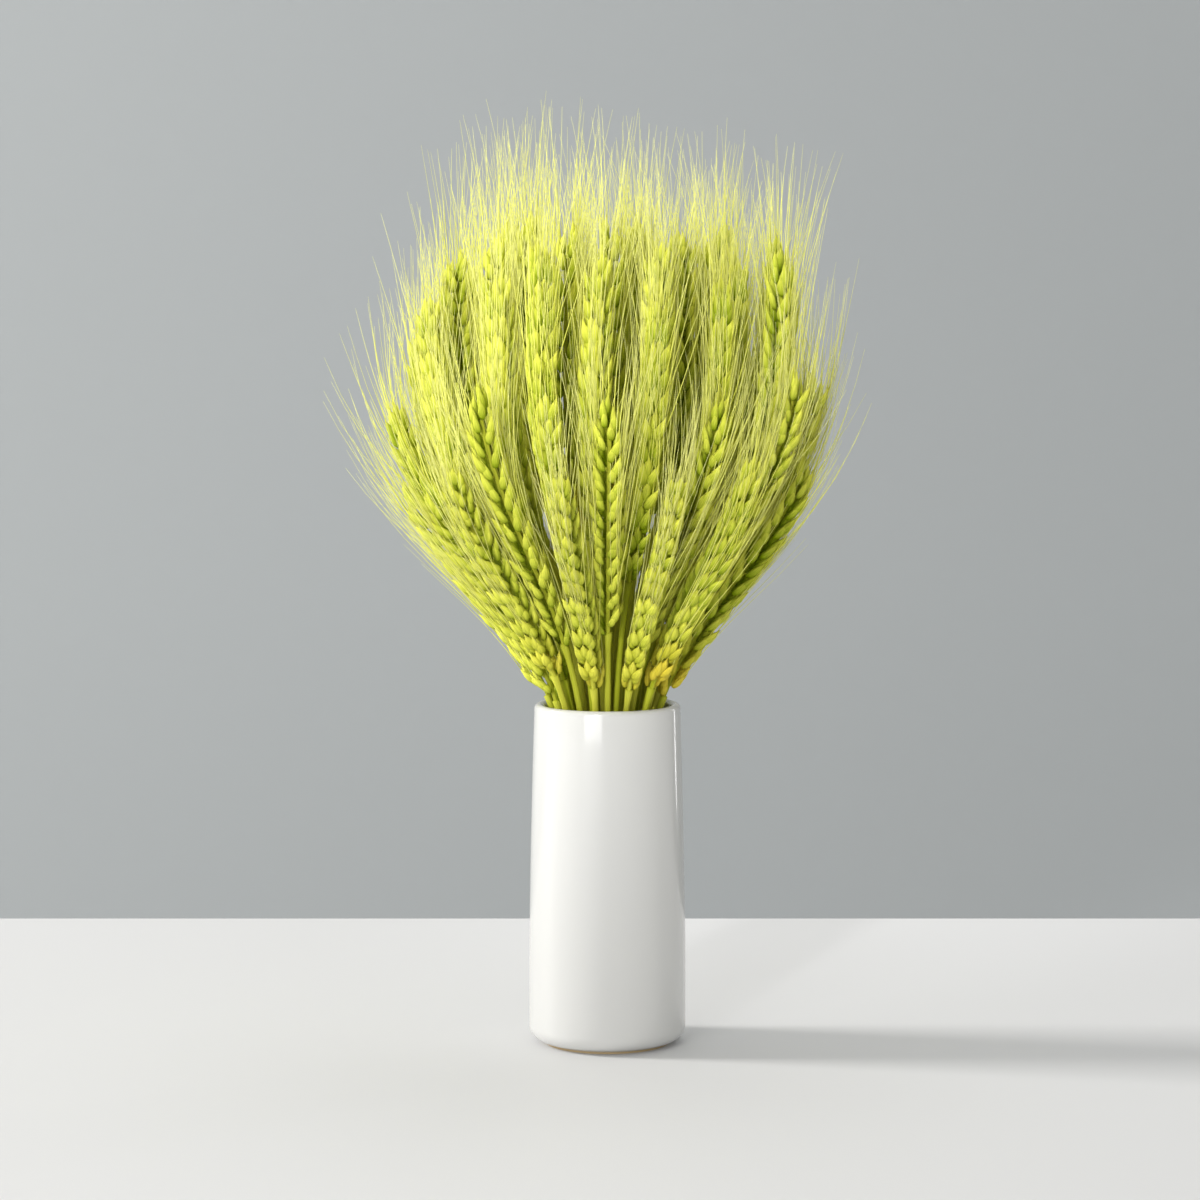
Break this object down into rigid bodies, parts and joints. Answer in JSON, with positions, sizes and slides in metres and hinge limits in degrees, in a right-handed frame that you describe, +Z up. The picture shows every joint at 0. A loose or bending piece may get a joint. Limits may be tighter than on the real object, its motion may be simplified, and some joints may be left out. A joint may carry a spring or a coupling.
{
  "type": "vase of wheat ears",
  "caption": "Bunch of dyed yellow-green bearded wheat stalks standing dry in a slim white glazed ceramic vase; a low collar of ears leans over the rim under a domed head of awned ears.",
  "frame": {"origin": "centre of the vase's flat underside", "axes": "+Z up the vase's axis; the bunch is much alike all round, and -Y faces the viewer"},
  "size_m": [0.2228, 0.24, 0.4034],
  "materials": {
    "glaze": "gloss",
    "straw": "matte"
  },
  "bodies": {
    "root": {"vase": "glaze", "wheat_stalk_01": "straw", "wheat_stalk_02": "straw", "wheat_stalk_03": "straw", "wheat_stalk_04": "straw", "wheat_stalk_05": "straw", "wheat_stalk_06": "straw", "wheat_stalk_07": "straw", "wheat_stalk_08": "straw", "wheat_stalk_09": "straw", "wheat_stalk_10": "straw", "wheat_stalk_11": "straw", "wheat_stalk_12": "straw", "wheat_stalk_13": "straw", "wheat_stalk_14": "straw", "wheat_stalk_15": "straw", "wheat_stalk_16": "straw", "wheat_stalk_17": "straw", "wheat_stalk_18": "straw", "wheat_stalk_19": "straw", "wheat_stalk_20": "straw", "wheat_stalk_21": "straw", "wheat_stalk_22": "straw", "wheat_stalk_23": "straw", "wheat_stalk_24": "straw", "wheat_stalk_25": "straw", "wheat_stalk_26": "straw", "wheat_stalk_27": "straw", "wheat_stalk_28": "straw", "wheat_stalk_29": "straw", "wheat_stalk_30": "straw", "wheat_stalk_31": "straw", "wheat_stalk_32": "straw", "wheat_stalk_33": "straw", "wheat_stalk_34": "straw", "wheat_stalk_35": "straw", "wheat_stalk_36": "straw", "wheat_stalk_37": "straw", "wheat_stalk_38": "straw", "wheat_stalk_39": "straw", "wheat_stalk_40": "straw", "wheat_stalk_41": "straw", "wheat_stalk_42": "straw", "wheat_stalk_43": "straw", "wheat_stalk_44": "straw", "wheat_stalk_45": "straw", "wheat_stalk_46": "straw", "wheat_stalk_47": "straw", "wheat_stalk_48": "straw", "wheat_stalk_49": "straw", "wheat_stalk_50": "straw", "wheat_stalk_51": "straw", "wheat_stalk_52": "straw", "wheat_stalk_53": "straw", "wheat_stalk_54": "straw", "wheat_stalk_55": "straw"}
  },
  "joints": []
}
